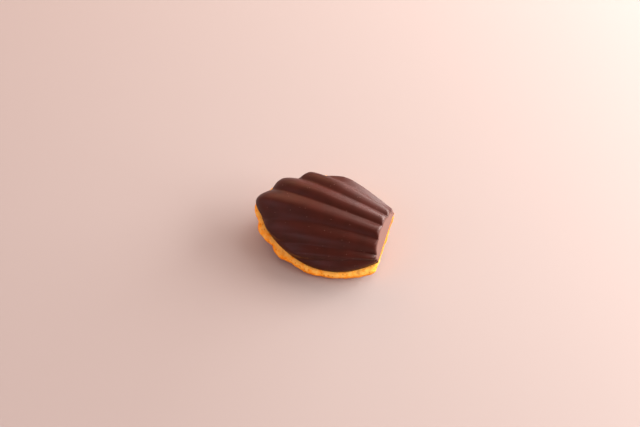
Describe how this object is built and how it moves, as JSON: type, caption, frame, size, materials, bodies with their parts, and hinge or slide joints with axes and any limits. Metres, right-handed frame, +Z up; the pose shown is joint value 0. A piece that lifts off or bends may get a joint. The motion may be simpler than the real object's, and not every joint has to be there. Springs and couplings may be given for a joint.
{
  "type": "madeleine cake",
  "caption": "A small ribbed cake in the form of a scallop: golden sponge with dark chocolate moulded over its ribbed side, lying hump side down and tilted onto one edge.",
  "frame": {"origin": "centre of the footprint's box, on the surface the cake lies on", "axes": "+X along the cake towards its narrow end, +Z up, and -Y towards the long side that is tilted down"},
  "size_m": [0.07, 0.051, 0.0296],
  "materials": {
    "chocolate": "satin dark chocolate",
    "sponge": "matte golden baked sponge"
  },
  "bodies": {
    "root": {"chocolate_shell": "chocolate", "sponge": "sponge"}
  },
  "joints": []
}
